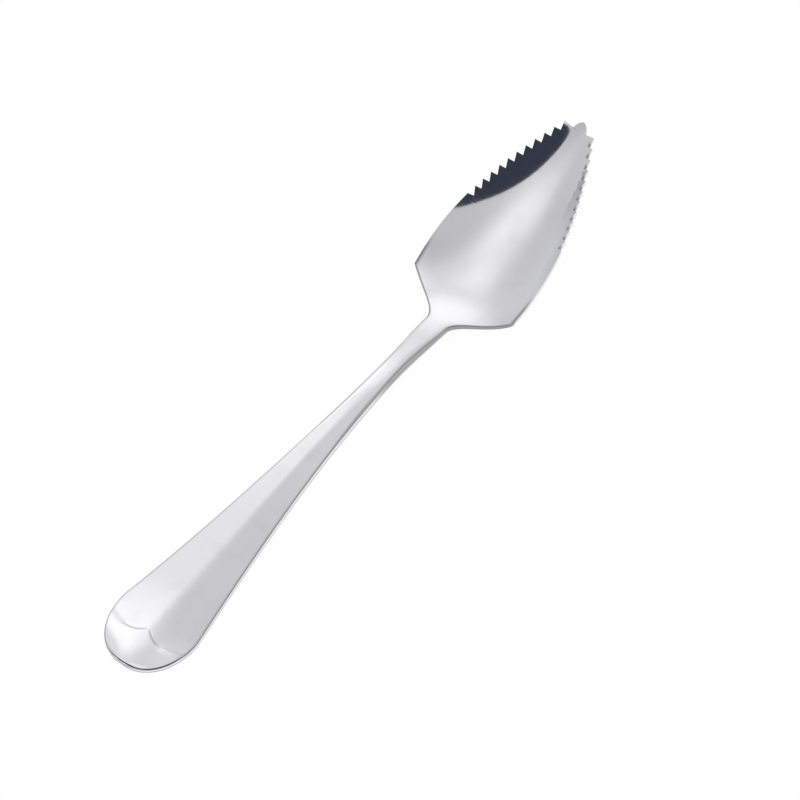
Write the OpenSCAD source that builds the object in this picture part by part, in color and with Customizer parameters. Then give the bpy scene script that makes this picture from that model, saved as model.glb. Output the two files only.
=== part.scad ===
// Serrated fruit spoon, pressed from one strip of stainless steel.
// The length runs along X from the handle's end to the point, and the spoon
// lies on its belly and its handle's end, with the hollow of the bowl up.

/* [Overall] */
// Length from the end of the handle to the point
spoon_len = 155; // [145:1:175]
// Height of the point above the table
tip_h = 18.2; // [15:0.2:21]

/* [Bowl] */
// Greatest width, across the sides
bowl_w = 28; // [24:0.5:32]
// Width across the two back corners
back_w = 27; // [23:0.5:31]
// Length from the back corners to the point
bowl_len = 42.8; // [40:0.2:50]
// Length of the two shoulders, from the neck to the back corners
shoulder_len = 9.4; // [7:0.2:12]
// Distance from the back corners to the greatest width
side_len = 8; // [5:0.5:11]
// Width of the blunt end that the sides run towards
tip_w = 6.2; // [5.4:0.2:8]
// Height of the back corners above the table
corner_h = 3.5; // [3.2:0.1:5.5]
// Distance from the back corners to the lowest point of the belly
belly_x = 2.5; // [1:0.5:6]
// Thickness of the metal on the belly
bowl_t = 1.1; // [0.8:0.1:1.4]
// Thickness of the metal at the rim
rim_t = 0.8; // [0.5:0.05:1]

/* [Teeth] */
// Teeth along each side
tooth_count = 12; // [8:1:13]
// Depth of a tooth
tooth_h = 1; // [0.6:0.05:1.2]
// Distance from the point to the last tooth's tip
last_tooth_x = 1.7; // [1.4:0.1:2.4]
// Distance from the point to the first tooth's tip
first_tooth_x = 24.8; // [20:0.2:28]
// Width of the point between the last teeth
point_w = 3.4; // [2.6:0.1:4]

/* [Shank] */
// Width of the shank where it is narrowest
shank_w = 4.5; // [3.6:0.1:6]
// Distance from the back corners to the narrowest place
shank_x = 24; // [18:0.5:30]
// Thickness of the shank
shank_t = 2.2; // [1.6:0.1:2.8]
// Width of the neck, where the shoulders begin
neck_w = 5.5; // [4.4:0.1:7.5]
// Height of the neck's top above the table
neck_h = 3.4; // [3.2:0.1:5]
// Height of the shank's arch above the table
arch_h = 5.1; // [4.8:0.1:10]
// Distance from the handle's end to the top of the arch
arch_x = 72; // [60:1:84]

/* [Handle] */
// Greatest width of the handle
handle_w = 20.2; // [16:0.2:24]
// Distance from the handle's end to its greatest width
handle_wide_x = 12.6; // [11:0.2:16]
// Thickness of the handle
handle_t = 1.8; // [1.4:0.1:2.4]
// Fall of the two facets from the ridge to the handle's edges
ridge_h = 0.8; // [0.4:0.05:1]
// Fall of the end pad from its middle to its edges
pad_h = 0.55; // [0.2:0.05:0.6]
// Distance from the handle's end to the point between the two thumb arcs
arc_x = 9.7; // [8.5:0.1:11]
// How far each thumb arc bulges towards the handle's end
arc_h = 2.4; // [1.6:0.1:3]

/* [Hidden] */

// Round of the long edges, on the handle and shank, and on the rim
edge_r = 0.45;
rim_r = 0.15;
// Width of the slope from a facet up to the end pad
arc_slope_w = 0.6;
// Length of the zones in which the shank runs into bowl and handle
neck_blend_len = 10;
crown_blend_len = 34;
// How far the shank and the handle reach over into the bowl's blend
bowl_join_x = 10;
handle_join_x = 46;
// Rows of the point, from the last teeth to its end
point_row_shares = [0, 0.25, 0.5, 0.72, 0.88, 0.96, 1];

// Slopes of the middle line, as rise over run
end_slope = 0;
neck_slope = -0.2;
tip_slope = 0.78;

// Powers of the outline and of the cross-section
taper_power = 1.83;
flare_power = 1.63;
round_power = 2.2;
hollow_power = 2.2;
facet_power = 1.12;
pad_power = 1.5;
crown_power = 2;
arc_power = 0.75;
point_power = 1.4;
thin_power = 4;
shoulder_bend = 0.75;

// Share of the top's shape that the handle's underside follows
follow_share = 0.35;
// Share of the handle's half width that a thumb arc spans, past its edge
arc_span_share = 1.19;
// Place of a notch between two teeth, as a share of their pitch from the rear one
notch_share = 0.42;
// Depth of the band that the teeth's sections leave plain, in tooth depths
bared_share = 1.5;
// Half width of the handle's cut end, as a share of its greatest
end_flat_share = 0.2;

// Stations along the middle line, from the handle's end
s_tip = spoon_len;
s_corner = s_tip - bowl_len;
s_neck = s_corner - shoulder_len;
s_taper = s_corner + side_len;
s_belly = s_corner + belly_x;
s_shank = s_corner - shank_x;
s_first = s_tip - first_tooth_x;
s_last = s_tip - last_tooth_x;
s_bowl_join = s_corner - bowl_join_x;
s_shank_join = s_shank - handle_join_x / 2;

// Rows and columns of the skins
columns = 14;
edge_steps = 3;
end_rows = 14;
arc_rows = 18;
facet_rows = 14;
shank_rows = 14;
shoulder_rows = 16;
side_rows = 12;

function clamp01(v) = min(1, max(0, v));
function ease(v) = let (t = clamp01(v)) t * t * (3 - 2 * t);
function blend(from, to, v) = from + (to - from) * v;

// Cubic between two stations with given heights and slopes
function curve(s, a, b) =
    let (run = b[0] - a[0], t = (s - a[0]) / run, t2 = t * t, t3 = t2 * t)
    (1 - 3 * t2 + 2 * t3) * a[1] + (3 * t2 - 2 * t3) * b[1]
    + (t3 - 2 * t2 + t) * run * a[2] + (t3 - t2) * run * b[2];

// Height of the top of the metal on the middle line
LINE = [
    [0, handle_t + follow_share * pad_h, end_slope],
    [arch_x, arch_h, 0],
    [s_neck, neck_h, neck_slope],
    [s_belly, bowl_t, 0],
    [s_tip, tip_h, tip_slope]
];
function middle_z(s) =
    let (i = s < arch_x ? 0 : s < s_neck ? 1 : s < s_belly ? 2 : 3)
    curve(s, LINE[i], LINE[i + 1]);

// Height of the rim, a straight line from the back corners to the point
function rim_z(s) = blend(corner_h, tip_h, (s - s_corner) / bowl_len);

// Half width of the handle's flare, the shank, the shoulders and the taper
function handle_half(s) =
    let (
        flare = pow(clamp01((s_shank - s) / (s_shank - handle_wide_x)), flare_power),
        wide = blend(shank_w, handle_w, flare) / 2,
        back = clamp01((handle_wide_x - s) / handle_wide_x),
        round_off = pow(1 - pow(back, round_power), 1 / round_power)
    )
    wide * max(round_off, end_flat_share);
function shank_half(s) = blend(shank_w, neck_w, ease((s - s_shank) / (s_neck - s_shank))) / 2;
function shoulder_half(s) =
    let (t = clamp01((s - s_neck) / shoulder_len))
    blend(neck_w, back_w, t * t * (1 + shoulder_bend - shoulder_bend * t)) / 2;
function taper_half(s) =
    let (
        open = clamp01((s - s_corner) / side_len),
        t = clamp01((s - s_taper) / (s_tip - s_taper))
    )
    (blend(back_w, bowl_w, open * (2 - open)) - (bowl_w - tip_w) * pow(t, taper_power)) / 2;
function half(s) =
    s < s_shank ? handle_half(s)
    : s < s_neck ? shank_half(s)
    : s < s_corner ? shoulder_half(s)
    : taper_half(s);

// Thickness of the metal on the middle line
function middle_t(s) =
    s < s_shank ? blend(handle_t, shank_t, ease(s / s_shank))
    : blend(shank_t, bowl_t, ease((s - s_shank) / (s_corner - s_shank)));

// Station of the two thumb arcs at a distance y from the ridge
function arc_s(y) =
    let (v = clamp01(abs(y) / (arc_span_share * handle_w / 2)))
    arc_x - arc_h * sin(180 * pow(v, arc_power));

// Fall of the handle's top below its middle line
function crown(s, y) =
    let (
        v = min(1, abs(y) / half(s)),
        pad = pad_h * pow(v, pad_power),
        facet = ridge_h * pow(v, facet_power),
        stem = ridge_h * pow(v, crown_power),
        on_facet = ease((s - arc_s(y)) / arc_slope_w + 1 / 2),
        on_stem = ease((s - (s_shank - crown_blend_len)) / crown_blend_len)
    )
    blend(blend(pad, facet, on_facet), stem, on_stem);

// Rise of the bowl's inside above its middle line
function hollow(s, y) =
    (rim_z(s) - middle_z(s)) * pow(abs(y) / taper_half(s), hollow_power);
function in_bowl(s) = ease((s - (s_neck - neck_blend_len)) / (neck_blend_len + shoulder_len / 2));
function top_z(s, y) = middle_z(s) + blend(-crown(s, y), hollow(s, y), in_bowl(s));

// Slope of the hollow across the bowl, which keeps the metal's thickness true
function wall_slope(s, y) =
    let (w = taper_half(s))
    (rim_z(s) - middle_z(s)) * hollow_power * pow(abs(y) / w, hollow_power - 1) / w;
function metal_t(s, y) =
    let (
        v = min(1, abs(y) / taper_half(s)),
        wall = blend(middle_t(s), rim_t, pow(v, thin_power)) * sqrt(1 + pow(wall_slope(s, y), 2)),
        strip = middle_t(s) - (1 - follow_share) * crown(s, y)
    )
    blend(strip, wall, in_bowl(s));
function under_z(s, y) = top_z(s, y) - metal_t(s, y);

// Closed section at a station: the top from left to right, then the underside
// back again, so that each point of the one lies over a point of the other.
// The top ends at half width inner, and the edge stands out to half width outer.
function section(s, inner, outer, r, squash) =
    let (
        low = squash * r,
        middle = (top_z(s, outer) + under_z(s, outer)) / 2,
        edge_ys = [for (i = [0 : edge_steps]) outer - r + r * sin(90 * i / edge_steps)],
        edge_falls = [for (i = [0 : edge_steps]) low + r * (1 - cos(90 * i / edge_steps))],
        over = [for (i = [0 : columns]) let (y = inner * (1 - 2 * i / columns)) [y, top_z(s, y) - low]],
        under = [for (p = over) [p[0], under_z(s, p[0]) + low]],
        top_edge = [for (i = [0 : edge_steps])
            [edge_ys[i], max(top_z(s, edge_ys[i]) - edge_falls[i], middle)]],
        low_edge = [for (i = [0 : edge_steps])
            [edge_ys[i], min(under_z(s, edge_ys[i]) + edge_falls[i], middle)]]
    )
    [
        for (i = [edge_steps : -1 : 0]) [s, top_edge[i][0], top_edge[i][1]],
        for (p = over) [s, p[0], p[1]],
        for (p = top_edge) [s, -p[0], p[1]],
        for (i = [edge_steps : -1 : 0]) [s, -low_edge[i][0], low_edge[i][1]],
        for (i = [columns : -1 : 0]) [s, under[i][0], under[i][1]],
        for (p = low_edge) [s, p[0], p[1]]
    ];

function plain_section(s) =
    let (
        w = half(s),
        r = blend(edge_r, rim_r, in_bowl(s)),
        squash = s < r ? 1 - sqrt(1 - pow(1 - s / r, 2)) : 0
    )
    section(s, w - 2 * r, w, r, squash);

// Skin through a list of sections, closed by a flat strip at each end
module skin(rings) {
    n = len(rings[0]);
    rows = len(rings);
    last = (rows - 1) * n;
    points = [for (ring = rings) for (p = ring) [p[0] - spoon_len / 2, p[1], p[2]]];
    sides = [for (i = [0 : rows - 2]) for (j = [0 : n - 1])
        let (a = i * n + j, b = i * n + (j + 1) % n)
        each [[a, a + n, b], [b, a + n, b + n]]];
    back = [for (j = [0 : n / 2 - 2])
        let (k = n - 1 - j)
        each [[j, j + 1, k], [j + 1, k - 1, k]]];
    front = [for (f = back) [last + f[2], last + f[1], last + f[0]]];
    polyhedron(points = points, faces = [each back, each sides, each front]);
}

function steps(from, to, count) = [for (i = [0 : count]) from + (to - from) * i / count];
function tail(list) = [for (i = [1 : len(list) - 1]) list[i]];

// Sections of the serrated sides: a tip, then the notch behind it
function tooth_s(i) = blend(s_first, s_last, i / (tooth_count - 1));
function taper_lean(s) = (taper_half(s + rim_r) - taper_half(s - rim_r)) / (2 * rim_r);
function notch(i) =
    let (
        s = blend(tooth_s(i), tooth_s(i + 1), notch_share),
        lean = taper_lean(s),
        long = sqrt(1 + lean * lean)
    )
    [s + tooth_h * lean / long, taper_half(s) - tooth_h / long];
function bared(s) = taper_half(s) - tooth_h * bared_share;
function tooth_sections() = [
    for (i = [0 : tooth_count - 1])
        each [
            section(tooth_s(i), bared(tooth_s(i)), taper_half(tooth_s(i)), rim_r, 0),
            if (i < tooth_count - 1)
                let (p = notch(i)) section(p[0], bared(p[0]), p[1], rim_r, 0)
        ]
];
function point_sections() = [
    for (v = point_row_shares)
        let (
            s = blend(s_last + rim_r, s_tip, v),
            w = point_w / 2 * max(sqrt(1 - pow(v, point_power)), end_flat_share)
        )
        section(s, w - 2 * rim_r, w, rim_r, 0)
];

module bowl() {
    shoulder = [for (s = steps(s_bowl_join, s_corner, shoulder_rows)) plain_section(s)];
    side = [for (s = tail(steps(s_corner, s_first, side_rows))) if (s < s_first) plain_section(s)];
    color("silver") skin([each shoulder, each side, each tooth_sections(), each point_sections()]);
}

module shank() {
    color("gainsboro") skin([for (s = steps(s_shank_join, s_bowl_join, shank_rows)) plain_section(s)]);
}

module handle() {
    s_pad = arc_x - arc_h - arc_slope_w;
    s_facet = arc_x + arc_slope_w;
    end = [for (v = steps(0, 1, end_rows)) s_pad * (1 - cos(90 * v))];
    arcs = tail(steps(s_pad, s_facet, arc_rows));
    facets = tail(steps(s_facet, s_shank_join, facet_rows));
    color("whitesmoke") skin([for (s = [each end, each arcs, each facets]) plain_section(s)]);
}

bowl();
shank();
handle();
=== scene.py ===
import math

import bpy
from mathutils import Matrix, Vector


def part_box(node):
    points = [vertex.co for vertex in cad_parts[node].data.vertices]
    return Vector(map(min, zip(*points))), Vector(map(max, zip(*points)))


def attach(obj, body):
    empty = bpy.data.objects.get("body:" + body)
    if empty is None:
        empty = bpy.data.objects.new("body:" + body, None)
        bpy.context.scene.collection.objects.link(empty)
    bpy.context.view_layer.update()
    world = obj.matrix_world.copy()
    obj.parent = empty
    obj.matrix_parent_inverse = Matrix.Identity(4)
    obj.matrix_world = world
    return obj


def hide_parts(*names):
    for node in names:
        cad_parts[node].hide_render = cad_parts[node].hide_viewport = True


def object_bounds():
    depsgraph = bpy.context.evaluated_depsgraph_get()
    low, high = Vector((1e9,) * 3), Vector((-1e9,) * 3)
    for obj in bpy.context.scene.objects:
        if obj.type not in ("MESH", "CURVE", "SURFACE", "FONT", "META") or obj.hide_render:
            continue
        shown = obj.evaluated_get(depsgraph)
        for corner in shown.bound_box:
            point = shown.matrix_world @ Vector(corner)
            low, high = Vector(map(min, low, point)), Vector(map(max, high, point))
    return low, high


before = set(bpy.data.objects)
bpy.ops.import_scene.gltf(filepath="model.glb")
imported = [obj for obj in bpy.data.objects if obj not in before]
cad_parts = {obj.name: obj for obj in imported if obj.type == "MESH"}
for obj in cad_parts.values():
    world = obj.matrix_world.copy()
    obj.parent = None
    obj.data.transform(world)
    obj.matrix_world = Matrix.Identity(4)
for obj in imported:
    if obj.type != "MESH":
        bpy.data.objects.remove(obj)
cad_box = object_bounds()

MM = 0.001

# Handle. The wide end of the pressing, in stainless steel about 1.8 mm thick. The drop
# stamp gives it two flat facets that fall from a ridge, and strikes a thumb pad flat at
# its end. The edges are tumbled round and the face is polished along its length.
handle_w = 20.2 * MM
handle_wide_x = 12.6 * MM
handle_t = 1.8 * MM
ridge_h = 0.8 * MM
edge_r = 0.25 * MM
end_r = 0.5 * MM
flare_power = 1.63
round_power = 2.2
facet_power = 1.12
end_flat_share = 0.03
# Buffing rounds the ridge a little
crest_r = 0.8 * MM
# Share of the top's shape that the underside follows
follow_share = 0.35
# Thumb pad, and the two arcs where the facets step down to it. Towards the edge, over
# some shares of the half width, the steps soften from the first width to the second.
pad_h = 0.55 * MM
pad_power = 1.5
arc_x = 9.7 * MM
arc_h = 2.4 * MM
arc_slope_w = 0.6 * MM
arc_end_w = 2.0 * MM
soft_start_share = 0.4
soft_span_share = 0.3
arc_span_share = 1.19
arc_power = 0.75
# The line that the die leaves along the arcs: its depth and half width, and the shares
# of the handle's half width where it starts, ends and fades
arc_line_h = 0.06 * MM
arc_line_w = 0.22 * MM
line_start_share = 0.08
line_end_share = 0.6
line_fade_share = 0.15
# A painted highlight along the right arc, a little to the pad's side of it
arc_highlight_w = 0.6 * MM
arc_highlight_shift = 0.24 * MM
arc_highlight_start_share = 0.32
arc_highlight_rise_share = 0.2
arc_highlight_end_share = 0.95
arc_highlight_fade_share = 0.25
# Where the shank, which the handle runs into, is narrowest
shank_x = 88.2 * MM
shank_w = 4.5 * MM
shank_t = 2.2 * MM
stem_power = 3.5
crown_blend_len = 34 * MM
# Arch of the middle line: its place and height. The handle's end lies level.
arch_x = 72 * MM
arch_h = 5.1 * MM

# A station s is a distance from the handle's end, which lies at the low end of X
end_x = cad_box[0].x


def clamp01(v):
    return min(1, max(0, v))


def ease(v):
    t = clamp01(v)
    return t * t * (3 - 2 * t)


def mix(a, b, share):
    return a + (b - a) * share


def curve(s, a, b):
    """Cubic between two (station, height, slope) places."""
    run = b[0] - a[0]
    t = (s - a[0]) / run
    rise = 3 * t**2 - 2 * t**3
    return (
        mix(a[1], b[1], rise)
        + (t**3 - 2 * t**2 + t) * run * a[2]
        + (t**3 - t**2) * run * b[2]
    )


middle_line = [(0, handle_t + follow_share * pad_h, 0), (arch_x, arch_h, 0)]


def middle_z(s):
    """Height of the metal's top along the ridge of handle, shank and bowl."""
    i = sum(s >= place[0] for place in middle_line[1:-1])
    return curve(s, middle_line[i], middle_line[i + 1])


def handle_half(s):
    """Half width of the handle: the flare, and the round end."""
    flare = clamp01((shank_x - s) / (shank_x - handle_wide_x)) ** flare_power
    back = clamp01((handle_wide_x - s) / handle_wide_x)
    round_off = (1 - back**round_power) ** (1 / round_power)
    return mix(shank_w, handle_w, flare) / 2 * max(round_off, end_flat_share)


def arc_place(y):
    """Station of the two thumb arcs, abreast of a place y from the ridge."""
    v = clamp01(abs(y) / (arc_span_share * handle_w / 2))
    return arc_x - arc_h * math.sin(math.pi * v**arc_power)


def struck(s, y):
    """Share of the die's line, which runs along the arcs and fades short of the edge."""
    v = 2 * abs(y) / handle_w
    off_line = (s - arc_place(y)) / arc_line_w
    reach = ease(v / line_start_share) * ease((line_end_share - v) / line_fade_share)
    return reach * math.exp(-(off_line**2))


def arc_highlight(s, y):
    """Share of the painted highlight on the outer half of the right arc."""
    v = max(0, -2 * y / handle_w)
    off_line = (s - arc_place(y) + arc_highlight_shift) / arc_highlight_w
    reach = ease((v - arc_highlight_start_share) / arc_highlight_rise_share)
    return reach * ease((arc_highlight_end_share - v) / arc_highlight_fade_share) * math.exp(-(off_line**2))


def fall(s, y, reach):
    """How far the top lies below the ridge, where the edge is at reach: pad, then
    facets, then the shank's crown."""
    v = min(1, (math.hypot(y, crest_r) - crest_r) / (math.hypot(reach, crest_r) - crest_r))
    slope_w = mix(arc_slope_w, arc_end_w, ease((v - soft_start_share) / soft_span_share))
    on_facet = ease((s - arc_place(y)) / slope_w + 1 / 2)
    on_stem = ease((s - shank_x + crown_blend_len) / crown_blend_len)
    pad = pad_h * v**pad_power
    facet = ridge_h * v**facet_power
    top = mix(mix(pad, facet, on_facet), ridge_h * v**stem_power, on_stem)
    return top + arc_line_h * struck(s, y)


def handle_faces(s, y):
    """Heights of the top and of the underside."""
    down = fall(s, y, handle_half(s))
    thick = mix(handle_t, shank_t, ease(s / shank_x)) - (1 - follow_share) * down
    return middle_z(s) - down, middle_z(s) - down - thick


# Columns in a quarter round, and the lip's place inside the edge, as a share of its radius
round_steps = 6
lip_share = 1.5


def ring(s, inner, outer, faces, r, squash=0, columns=36):
    """Closed section at a station, the top from left to right and the underside back.
    Its edge is rounded by r, or flattened to the middle by squash where it closes. A lip
    just inside the round keeps the shading of the face true up to it."""
    low = squash * r
    middle = sum(faces(s, outer)) / 2
    over = []
    under = []
    for i in range(round_steps, -1, -1):
        angle = i / round_steps * math.pi / 2
        y = outer - r + r * math.sin(angle)
        drop = low + r * (1 - math.cos(angle))
        top, bottom = faces(s, y)
        over.append((s, y, max(top - drop, middle)))
        under.append((s, y, min(bottom + drop, middle)))
    rounded = len(over)
    lip = outer - lip_share * r
    places = [inner * (1 - 2 * i / columns) for i in range(columns + 1)]
    for y in [lip, *places, -lip]:
        top, bottom = faces(s, y)
        over.append((s, y, top - low))
        under.append((s, y, bottom + low))
    right_over = [(s, -y, z) for s, y, z in reversed(over[:rounded])]
    right_under = [(s, -y, z) for s, y, z in reversed(under[:rounded])]
    return over + right_over + list(reversed(under + right_under))


# Largest side round, as a share of the half width
side_round_share = 0.4


def plain_ring(s, reach, faces, r, columns=36):
    """Section of a smooth edge, which closes in a round at the handle's end."""
    squash = 1 - math.sqrt(1 - (1 - s / r) ** 2) if s < r else 0
    side_r = min(r, side_round_share * reach)
    return ring(s, reach - 2 * side_r, reach, faces, side_r, squash * r / side_r, columns)


def stations(start, stop, count):
    return [mix(start, stop, i / count) for i in range(count + 1)]


# Width of the grey painted shade along the rounded corners
corner_shade_w = 0.4 * MM
# Station where the painted corner shade ends. The teeth beyond stay square from the cut.
corner_shade_to = 120 * MM
corner_shade_fade_len = 4 * MM
# How dark the painted shade in the die's line is, and how bright the painted highlight along the
# right arc
line_shade_share = 0.8
arc_highlight_strength = 0.8
sharp_angle = math.radians(38)


def paint_light_and_shade(mesh, rings, notch_shade_of):
    """Gives each place its share of painted shade, on the corners, in the die's line and in
    the right notches, and of painted highlight, on the walls and along the right arc. Its
    last argument gives the share of painted shade in the right notches from a ring's
    station and its reach."""
    for name in ("corner", "edge"):
        mesh.attributes.new(name, "FLOAT", "POINT")
    corner = mesh.attributes["corner"].data
    edge = mesh.attributes["edge"].data
    n = len(rings[0])
    for i, one in enumerate(rings):
        station = one[0][0]
        reach = max(y for _, y, _ in one)
        painted_shade = ease((corner_shade_to - station) / corner_shade_fade_len)
        dark = notch_shade_of(station, reach) if notch_shade_of else 0
        for j, (s, y, _) in enumerate(one):
            on_top = j < n // 2
            wall = 1 if j in (0, n // 2 - 1) else 0
            # Grey painted shade along the rounded corners, which stands in for their dark edge
            # lines
            rounded = painted_shade * ease(3 / 2 - (reach - abs(y)) / corner_shade_w) * (1 - wall)
            # Painted shade in the right notches
            shaded_notch = dark if y < edge_r - reach else 0
            # Painted shade in the die's line along the arcs
            line_shade = line_shade_share * struck(s, y) * on_top
            # Painted highlight along the outer half of the right arc
            highlit = arc_highlight_strength * arc_highlight(s, y) * on_top
            corner[i * n + j].value = max(rounded, shaded_notch, line_shade)
            # Painted highlight on the walls, left out where the notches take painted shade
            edge[i * n + j].value = max(wall * (1 - shaded_notch), highlit)


def smooth_joins(mesh, rings, before, after):
    """Turns the shading at the ends so that it runs on into the neighbours' rings."""
    n = len(rings[0])
    end = len(rings) - 1
    normals = [Vector()] * len(mesh.loops)
    for neighbour, row, beside in ((before, 0, 1), (after, end, end - 1)):
        if not neighbour:
            continue
        spans = (neighbour, rings[beside]) if row == 0 else (rings[beside], neighbour)
        smooth = {}
        for j in range(n):
            along = Vector(spans[1][j]) - Vector(spans[0][j])
            across = Vector(rings[row][(j + 1) % n]) - Vector(rings[row][j - 1])
            smooth[row * n + j] = across.cross(along).normalized()
        for face in mesh.polygons:
            if all(v in smooth for v in face.vertices):
                continue
            for loop in face.loop_indices:
                place = mesh.loops[loop].vertex_index
                if place in smooth:
                    normals[loop] = smooth[place]
    mesh.normals_split_custom_set(normals)


def pressing(name, rings, before=None, after=None, notch_shade_of=None):
    """Skin over a row of rings, closed at both ends. before and after are the rings
    of the neighbours, for the shading where two pieces meet."""
    n = len(rings[0])
    points = [(end_x + s, y, z) for one in rings for s, y, z in one]
    faces = []
    for i in range(len(rings) - 1):
        for j in range(n):
            a = i * n + j
            b = i * n + (j + 1) % n
            faces.append((a, b, b + n, a + n))
    last = (len(rings) - 1) * n
    for j in range(n // 2 - 1):
        k = n - 1 - j
        faces.append((k, k - 1, j + 1, j))
        faces.append((last + j, last + j + 1, last + k - 1, last + k))
    mesh = bpy.data.meshes.new(name)
    mesh.from_pydata(points, [], faces)
    mesh.validate()
    paint_light_and_shade(mesh, rings, notch_shade_of)
    mesh.shade_smooth()
    mesh.set_sharp_from_angle(angle=sharp_angle)
    smooth_joins(mesh, rings, before, after)
    piece = bpy.data.objects.new(name, mesh)
    bpy.context.scene.collection.objects.link(piece)
    return piece


class Signal:
    """A socket in a material's nodes. Sums on it add the Math nodes that work them out."""

    def __init__(self, tree, socket=None):
        self.tree = tree
        self.socket = socket

    def node(self, kind, settings=None, sockets=None, take=0):
        """Adds a node: its settings first, then the values or links of its sockets."""
        made = self.tree.nodes.new("ShaderNode" + kind)
        for name, value in (settings or {}).items():
            setattr(made, name, value)
        for name, value in (sockets or {}).items():
            if isinstance(value, Signal):
                self.tree.links.new(value.socket, made.inputs[name])
            else:
                made.inputs[name].default_value = value
        return Signal(self.tree, made.outputs[take] if made.outputs else None)

    def maths(self, operation, *values):
        return self.node("Math", {"operation": operation}, dict(enumerate(values)))

    def __add__(self, other):
        return self.maths("ADD", self, other)

    def __sub__(self, other):
        return self.maths("SUBTRACT", self, other)

    def __rsub__(self, other):
        return self.maths("SUBTRACT", other, self)

    def __mul__(self, other):
        return self.maths("MULTIPLY", self, other)

    __radd__ = __add__
    __rmul__ = __mul__

    def step(self, low, high):
        """Rises smoothly from zero to one as the socket passes from low to high."""
        bend = {"interpolation_type": "SMOOTHSTEP"}
        return self.node("MapRange", bend, {0: self, 1: low, 2: high})

    def blend(self, bare, covered):
        """Colour that passes from bare to covered as the socket goes from zero to one."""
        return self.node("Mix", {"data_type": "RGBA"}, {0: self, 6: bare, 7: covered}, 2)


def polished_steel(name, streak_len, streak_w):
    """Stainless steel with a buffed face: hairlines along the spoon, a few scratches and
    faint smudges that dull it, with painted shade on the corners and painted highlights on the
    walls."""
    steel = bpy.data.materials.new(name)
    steel.use_nodes = True
    tree = steel.node_tree
    tree.nodes.clear()
    start = Signal(tree)
    place = start.node("TexCoord", take="Object")
    stretch = (1 / streak_len, 1 / streak_w, 1 / streak_w)
    along = start.node("VectorMath", {"operation": "MULTIPLY"}, {0: place, 1: stretch})
    hairlines = start.node("TexNoise", None, {"Vector": along, "Scale": 1.0, "Detail": 4.0})
    smudges = start.node("TexNoise", None, {"Vector": place, "Scale": 160.0, "Detail": 5.0})
    dulled = smudges.step(0.5, 0.72)
    askew = start.node("VectorRotate", {"rotation_type": "Z_AXIS"}, {0: along, "Angle": 0.02})
    scratches = start.node("TexNoise", None, {"Vector": askew, "Scale": 0.55, "Detail": 1.0})
    # The corner attribute holds painted shade; the edge attribute holds painted light on the walls
    # (a painted highlight, or painted shade by the neck) and a painted highlight on the right arc
    scratched = scratches.step(0.70, 0.74)
    painted_shade = start.node("Attribute", {"attribute_name": "corner"}, take="Fac")
    painted_light = start.node("Attribute", {"attribute_name": "edge"}, take="Fac")
    roughness = 0.05 + 0.03 * hairlines + 0.05 * dulled + 0.05 * scratched
    roughness = roughness + 0.12 * painted_light + 0.2 * painted_shade
    clean = (0.70, 0.70, 0.722, 1)
    dull = (0.665, 0.665, 0.685, 1)
    # Grey is painted shade for the corners, the die's line and the right notches; bright is a
    # painted highlight for the walls and the right arc; the darkest is painted shade for the walls
    # by the neck and the corners by the shoulders and teeth
    grey = (0.45, 0.45, 0.465, 1)
    bright = (0.95, 0.95, 0.955, 1)
    painted_dark = (0.24, 0.24, 0.25, 1)
    # Stretches along the spoon, in metres, where the walls by the neck and the corners by the
    # shoulders and teeth take a darker painted shade
    length = start.node("SeparateXYZ", None, {0: place}, "X")
    by_neck = length.step(0.000, 0.008) * length.step(0.036, 0.034)
    by_shoulder = length.step(0.024, 0.028) * length.step(0.044, 0.036)
    by_teeth = length.step(0.050, 0.052)
    rim = by_neck.blend(bright, painted_dark)
    corners = (by_shoulder + by_teeth).blend(grey, painted_dark)
    # Smudged steel, with the corners' painted shade over it and the walls' painted light on top
    tone = painted_light.blend(painted_shade.blend(dulled.blend(clean, dull), corners), rim)
    height = hairlines + 0.5 * scratched
    relief = start.node("Bump", None, {"Height": height, "Strength": 0.03, "Distance": 0.02 * MM})
    shader = start.node(
        "BsdfPrincipled",
        None,
        {"Base Color": tone, "Metallic": 1.0, "Roughness": roughness, "Normal": relief},
    )
    start.node("OutputMaterial", None, {"Surface": shader})
    return steel


handle_columns = 64
pad_rows = 28
arc_rows = 48
facet_rows = 60
handle_join_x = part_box("handle")[1].x - end_x
pad_end = arc_x - arc_h - arc_slope_w
facet_start = arc_x + arc_slope_w
# The rows crowd together at the round end and along the arcs
handle_rows = [pad_end * (1 - math.cos(v * math.pi / 2)) for v in stations(0, 1, pad_rows)]
handle_rows += stations(pad_end, facet_start, arc_rows)[1:]
handle_rows += stations(facet_start, handle_join_x, facet_rows)[1:]
facet_step = (handle_join_x - facet_start) / facet_rows


def handle_ring(s):
    r = mix(end_r, edge_r, ease(s / handle_wide_x))
    return plain_ring(s, handle_half(s), handle_faces, r, handle_columns)


handle = pressing(
    "handle_pressing",
    [handle_ring(s) for s in handle_rows],
    after=handle_ring(handle_join_x + facet_step),
)
handle.data.materials.append(polished_steel("polished_handle_steel", 14 * MM, 0.12 * MM))
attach(handle, "root")
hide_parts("handle")

# Shank. The narrow stem between handle and bowl, the same strip of steel left thickest
# here because it bends in use. It arches off the table, and spreads into the shoulders.
neck_x = 102.8 * MM
neck_w = 5.5 * MM
neck_h = 3.4 * MM
neck_slope = -0.2
neck_blend_len = 10 * MM
stem_rows = 36
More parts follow.
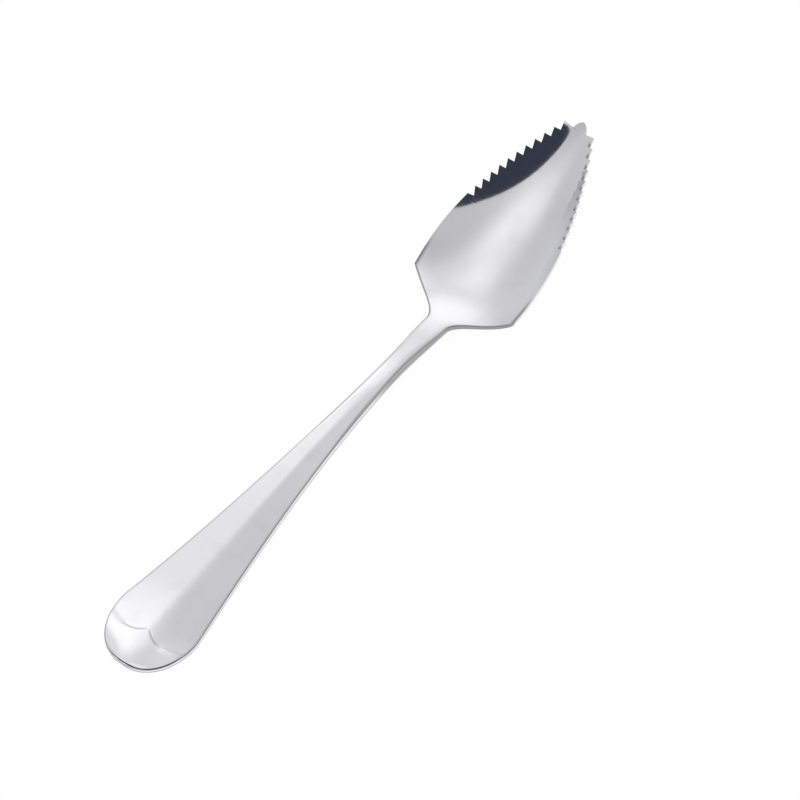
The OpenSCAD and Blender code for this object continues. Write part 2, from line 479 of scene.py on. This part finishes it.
# The bowl that the stem runs into: its back corners, its lowest place on the belly, its
# sides and its point
corner_x = 112.2 * MM
corner_h = 3.5 * MM
shoulder_bend = 0.75
belly_x = corner_x + 2.5 * MM
bowl_w = 28 * MM
back_w = 27 * MM
bowl_len = 42.8 * MM
side_len = 8 * MM
bowl_t = 1.1 * MM
rim_t = 0.8 * MM
rim_r = 0.1 * MM
taper_x = corner_x + side_len
taper_power = 1.83
hollow_power = 2.2
thin_power = 4
tip_x = corner_x + bowl_len
tip_h = 18.2 * MM
tip_w = 6.2 * MM
tip_slope = 0.78
middle_line += [(neck_x, neck_h, neck_slope), (belly_x, bowl_t, 0), (tip_x, tip_h, tip_slope)]


def shank_half(s):
    return mix(shank_w, neck_w, ease((s - shank_x) / (neck_x - shank_x))) / 2


def taper_half(s):
    """Half width of the bowl's sides, which spread a little from the back corners and
    then draw in to the blunt point."""
    spread = clamp01((s - corner_x) / side_len)
    drawn = clamp01((s - taper_x) / (tip_x - taper_x)) ** taper_power
    return (mix(back_w, bowl_w, spread * (2 - spread)) - (bowl_w - tip_w) * drawn) / 2


def in_bowl(s):
    """Share of the bowl's hollow form, which takes over from the stem at the neck."""
    shoulder_len = corner_x - neck_x
    return ease((s - neck_x + neck_blend_len) / (neck_blend_len + shoulder_len / 2))


def stem_thick(s):
    if s < shank_x:
        return mix(handle_t, shank_t, ease(s / shank_x))
    return mix(shank_t, bowl_t, ease((s - shank_x) / (corner_x - shank_x)))


def outline_half(s):
    """Half width of the spoon's outline at a station."""
    if s < shank_x:
        return handle_half(s)
    if s < neck_x:
        return shank_half(s)
    if s < corner_x:
        t = (s - neck_x) / (corner_x - neck_x)
        return mix(neck_w, back_w, t * t * (1 + shoulder_bend - shoulder_bend * t)) / 2
    return taper_half(s)


def spoon_faces(s, y):
    """Heights of the top and of the underside, from the stem's crown to the hollow."""
    side = taper_half(s)
    depth = mix(corner_h, tip_h, (s - corner_x) / bowl_len) - middle_z(s)
    rise = depth * (abs(y) / side) ** hollow_power
    steepness = depth * hollow_power * (abs(y) / side) ** (hollow_power - 1) / side
    v = min(1, abs(y) / side)
    wall = mix(stem_thick(s), rim_t, v**thin_power) * math.hypot(1, steepness)
    down = fall(s, y, outline_half(s))
    strip = stem_thick(s) - (1 - follow_share) * down
    top = middle_z(s) + mix(-down, rise, in_bowl(s))
    return top, top - mix(strip, wall, in_bowl(s))


def spoon_ring(s):
    return plain_ring(s, outline_half(s), spoon_faces, mix(edge_r, rim_r, in_bowl(s)))


bowl_join_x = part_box("bowl")[0].x - end_x
stem_step = (bowl_join_x - handle_join_x) / stem_rows
shank = pressing(
    "shank_pressing",
    [spoon_ring(s) for s in stations(handle_join_x, bowl_join_x, stem_rows)],
    before=spoon_ring(handle_join_x - stem_step),
    after=spoon_ring(bowl_join_x + stem_step),
)
shank.data.materials.append(polished_steel("polished_shank_steel", 14 * MM, 0.12 * MM))
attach(shank, "root")
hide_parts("shank")

# Bowl. A pointed scoop, drawn hollow from the thin front of the strip. Twelve saw teeth
# are sheared in each of its long front edges, up to a small round point, and they are
# left square on the cut so that they saw through the fruit's skins.
tooth_count = 12
tooth_h = 1 * MM
tooth_r = 0.05 * MM
first_tooth_x = tip_x - 24.8 * MM
last_tooth_x = tip_x - 1.7 * MM
# Place of a notch between two teeth, as a share of their pitch from the rear one
notch_share = 0.42
# Width of the band inside the edge that the columns of the hollow leave to the teeth
tooth_band_w = 1.5 * MM
# Length of the square step from the last tooth to the point
step_w = 0.02 * MM
point_w = 3.4 * MM
point_power = 1.4
point_flat_share = 0.2
# Share of a notch's depth where the painted shade starts
notch_shade_start_share = 0.4
shoulder_rows = 40
side_rows = 40
tooth_rows = 4
point_rows = 12


def toothed_ring(s, outer):
    return ring(s, taper_half(s) - tooth_band_w, outer, spoon_faces, tooth_r)


def point_ring(s, reach):
    return ring(s, reach - 2 * tooth_r, reach, spoon_faces, tooth_r)


def tooth_place(i):
    return mix(first_tooth_x, last_tooth_x, i / (tooth_count - 1))


tooth_outline = []
for i in range(tooth_count):
    s = tooth_place(i)
    tooth_outline.append((s, taper_half(s)))
    if i < tooth_count - 1:
        s = mix(tooth_place(i), tooth_place(i + 1), notch_share)
        lean = (taper_half(s + tooth_r) - taper_half(s - tooth_r)) / (2 * tooth_r)
        long = math.hypot(1, lean)
        tooth_outline.append((s + tooth_h * lean / long, taper_half(s) - tooth_h / long))

bowl_rings = [spoon_ring(s) for s in stations(bowl_join_x, corner_x, shoulder_rows)]
bowl_rings += [spoon_ring(s) for s in stations(corner_x, first_tooth_x, side_rows)[1:-1]]
for a, b in zip(tooth_outline, tooth_outline[1:]):
    for i in range(tooth_rows):
        share = i / tooth_rows
        bowl_rings.append(toothed_ring(mix(a[0], b[0], share), mix(a[1], b[1], share)))
s, outer = tooth_outline[-1]
bowl_rings.append(toothed_ring(s - step_w, outer))
bowl_rings.append(toothed_ring(s, outer))
bowl_rings.append(point_ring(s + step_w, point_w / 2))
for v in stations(0, 1, point_rows):
    run = math.sin(v * math.pi / 2)
    closing = max(math.sqrt(1 - run**point_power), point_flat_share)
    bowl_rings.append(point_ring(mix(last_tooth_x + tooth_r, tip_x, run), point_w / 2 * closing))


def right_notch_shade(s, reach):
    """Share of painted shade in the right notches."""
    if s < first_tooth_x or s > last_tooth_x:
        return 0
    return ease(2 * ((taper_half(s) - reach) / tooth_h - notch_shade_start_share))


bowl = pressing(
    "bowl_pressing",
    bowl_rings,
    before=spoon_ring(bowl_join_x - stem_step),
    notch_shade_of=right_notch_shade,
)
bowl.data.materials.append(polished_steel("polished_bowl_steel", 9 * MM, 0.10 * MM))
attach(bowl, "root")
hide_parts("bowl")

# Studio. A sheet of white paper that still takes the spoon's soft shadow. Over it stands
# a round tent of white silk, open at the front onto a dark room. A small card hangs over
# the handle, and a grey cloth lies beyond the bowl. Only the steel mirrors these three.
floor_half = 2.0
floor_mesh = bpy.data.meshes.new("floor")
floor_mesh.from_pydata(
    [(x * floor_half, y * floor_half, 0) for x, y in ((-1, -1), (1, -1), (1, 1), (-1, 1))],
    [],
    [(0, 1, 2, 3)],
)
floor = bpy.data.objects.new("floor", floor_mesh)
bpy.context.scene.collection.objects.link(floor)

paper = bpy.data.materials.new("white_paper")
paper.use_nodes = True
paper.node_tree.nodes.clear()
start = Signal(paper.node_tree)
seen = start.node("LightPath", take="Is Camera Ray")
mirrored = start.node("LightPath", take="Is Glossy Ray")
through = start.node("LightPath", take="Is Transmission Ray")
lit = start.node("BsdfDiffuse", None, {"Color": (0.99, 0.99, 0.99, 1)})
white = start.node("Emission", None, {"Color": (1, 1, 1, 1), "Strength": 1.0})
share = 0.96 * seen + 0.85 * (mirrored + through)
sheet = start.node("MixShader", None, {0: share, 1: lit, 2: white})
start.node("OutputMaterial", None, {"Surface": sheet})
floor_mesh.materials.append(paper)

world = bpy.data.worlds.new("studio")
bpy.context.scene.world = world
world.use_nodes = True
world.node_tree.nodes.clear()
start = Signal(world.node_tree)
air = start.node("Background", None, {"Color": (1, 1, 1, 1), "Strength": 1.0})
start.node("OutputWorld", None, {"Surface": air})


def hang(name, points, faces):
    """Adds a piece of the studio that only the steel mirrors, and its empty material."""
    mesh = bpy.data.meshes.new(name)
    mesh.from_pydata(points, [], faces)
    mesh.shade_smooth()
    cloth = bpy.data.materials.new(name + "_cloth")
    cloth.use_nodes = True
    cloth.node_tree.nodes.clear()
    mesh.materials.append(cloth)
    hung = bpy.data.objects.new(name, mesh)
    bpy.context.scene.collection.objects.link(hung)
    hung.visible_camera = False
    hung.visible_diffuse = False
    hung.visible_shadow = False
    return Signal(cloth.node_tree)


tent_r = 0.45
tent_slant = math.radians(92)
tent_rings = 24
tent_sides = 48
tent_points = [(0, 0, tent_r)]
tent_faces = []
for i in range(1, tent_rings + 1):
    slant = i / tent_rings * tent_slant
    for j in range(tent_sides):
        turn = j / tent_sides * math.tau
        out = tent_r * math.sin(slant)
        tent_points.append((out * math.cos(turn), out * math.sin(turn), tent_r * math.cos(slant)))
for j in range(tent_sides):
    k = (j + 1) % tent_sides
    tent_faces.append((0, 1 + k, 1 + j))
    for i in range(tent_rings - 1):
        a = 1 + i * tent_sides
        tent_faces.append((a + j, a + k, a + k + tent_sides, a + j + tent_sides))
start = hang("light_tent", tent_points, tent_faces)
place = start.node("TexCoord", take="Object")
outward = start.node("VectorMath", {"operation": "NORMALIZE"}, {0: place})


def facing(azimuth, height):
    """Cosine of the angle between a place on the tent and a direction, in degrees."""
    a = math.radians(azimuth)
    h = math.radians(height)
    way = (math.cos(h) * math.cos(a), math.cos(h) * math.sin(a), math.sin(h))
    return start.node("VectorMath", {"operation": "DOT_PRODUCT"}, {0: outward, 1: way}, "Value")


def glow(azimuth, height, tightness):
    """A lamp's soft patch on the silk."""
    return start.maths("EXPONENT", tightness * (facing(azimuth, height) - 1))


far_lamps = 0.62 * glow(19, 14, 6.9) + 0.13 * glow(60, 11, 40.0) + 0.12 * glow(32, 29, 60.0)
top_lamps = 0.53 * glow(261, 84, 11.0) + 0.25 * glow(44, 61, 34.0)
left_lamps = 0.57 * glow(132, 56, 16.5) + 0.05 * glow(159, 71, 39.0)
# Folds of the silk that hang in shade
folds = 0.53 * glow(145, 49, 14.0) + 0.35 * glow(-75, 74, 15.7) + 0.18 * glow(-58, 22, 9.0)
silk = 0.665 + far_lamps + top_lamps + left_lamps - folds
opening = facing(-159.4, -22.9).step(0.104, 0.113)
silk_white = (1.13, 1.13, 1.15)
room_navy = (0.047, 0.055, 0.079, 1)
lit_silk = start.node("VectorMath", {"operation": "SCALE"}, {0: silk_white, "Scale": silk})
tone = opening.blend(lit_silk, room_navy)
lamp = start.node("Emission", None, {"Color": tone, "Strength": 1.0})
start.node("OutputMaterial", None, {"Surface": lamp})


def hang_sheet(name, low, high, height):
    """Hangs a level sheet between two (x, y) corners."""
    points = [(*low, height), (high[0], low[1], height), (*high, height), (low[0], high[1], height)]
    return hang(name, points, [(0, 1, 2, 3)])


def face_sheet(start, cover, colour):
    """Gives the sheet a plain light, which fades out with its cover."""
    clear = start.node("BsdfTransparent", None, {"Color": (1, 1, 1, 1)})
    light = start.node("Emission", None, {"Color": colour, "Strength": 1.0})
    faced = start.node("MixShader", None, {0: cover, 1: clear, 2: light})
    start.node("OutputMaterial", None, {"Surface": faced})


# The card's near half is grey and its far half white, brightest over the handle's end
start = hang_sheet("handle_card", (-0.11, -0.05), (0.04, 0.10), 0.03)
place = start.node("TexCoord", take="Object")
along = start.node("SeparateXYZ", None, {0: place}, "X")
aside = start.node("SeparateXYZ", None, {0: place}, "Y")
far_half = aside.step(0.004, 0.019)
near_shade = aside.step(-0.008, -0.020)
over_end = along.step(-0.045, -0.058)
over_pad = along.step(-0.056, -0.064)
past_pad = along.step(-0.0635, -0.068)
over_stem = along.step(-0.030, 0.002)
over_neck = along.step(0.012, 0.018) * along.step(0.031, 0.023)
white_card = 0.96 + 0.20 * over_end + 0.11 * over_stem + 0.17 * over_neck
grey_card = 0.72 + 0.12 * over_pad + 0.05 * over_stem + 0.08 * over_neck - 0.2 * near_shade
level = far_half * white_card + (1 - far_half) * grey_card
level = level + 0.10 * over_pad * aside.step(0.006, 0.014)
level = level - 0.38 * past_pad * aside.step(0.006, 0.016)
lit_card = start.node("VectorMath", {"operation": "SCALE"}, {0: silk_white, "Scale": level})
cover = along.step(0.040, 0.030) * along.step(-0.078, -0.071) * aside.step(0.100, 0.075)
face_sheet(start, cover, lit_card)

start = hang_sheet("grey_cloth", (0.0, 0.015), (0.4, 0.45), 0.001)
place = start.node("TexCoord", take="Object")
along = start.node("SeparateXYZ", None, {0: place}, "X")
aside = start.node("SeparateXYZ", None, {0: place}, "Y")
cover = along.step(0.0, 0.03) * aside.step(0.015, 0.022)
face_sheet(start, cover, (0.79, 0.79, 0.80, 1))

# Camera. A long lens looks down on the spoon from its handle's right side, so that the
# handle's end lies at the picture's lower left and the bowl's point at its upper right.
aim = Vector((6.74, -5.11, 0.72)) * MM
to_camera = Vector((-0.38969, -0.39803, 0.83049)).normalized()
picture_right = Vector((0.63248, -0.77115, -0.07281))
distance = 0.93983
picture_right = (picture_right - to_camera * picture_right.dot(to_camera)).normalized()
picture_up = to_camera.cross(picture_right)
lens = bpy.data.cameras.new("camera")
lens.lens = 200
lens.sensor_width = 36
camera = bpy.data.objects.new("camera", lens)
bpy.context.scene.collection.objects.link(camera)
turned = Matrix((picture_right, picture_up, to_camera)).transposed().to_4x4()
camera.matrix_world = Matrix.Translation(aim + to_camera * distance) @ turned
bpy.context.scene.camera = camera
bpy.context.scene.view_settings.view_transform = "Standard"
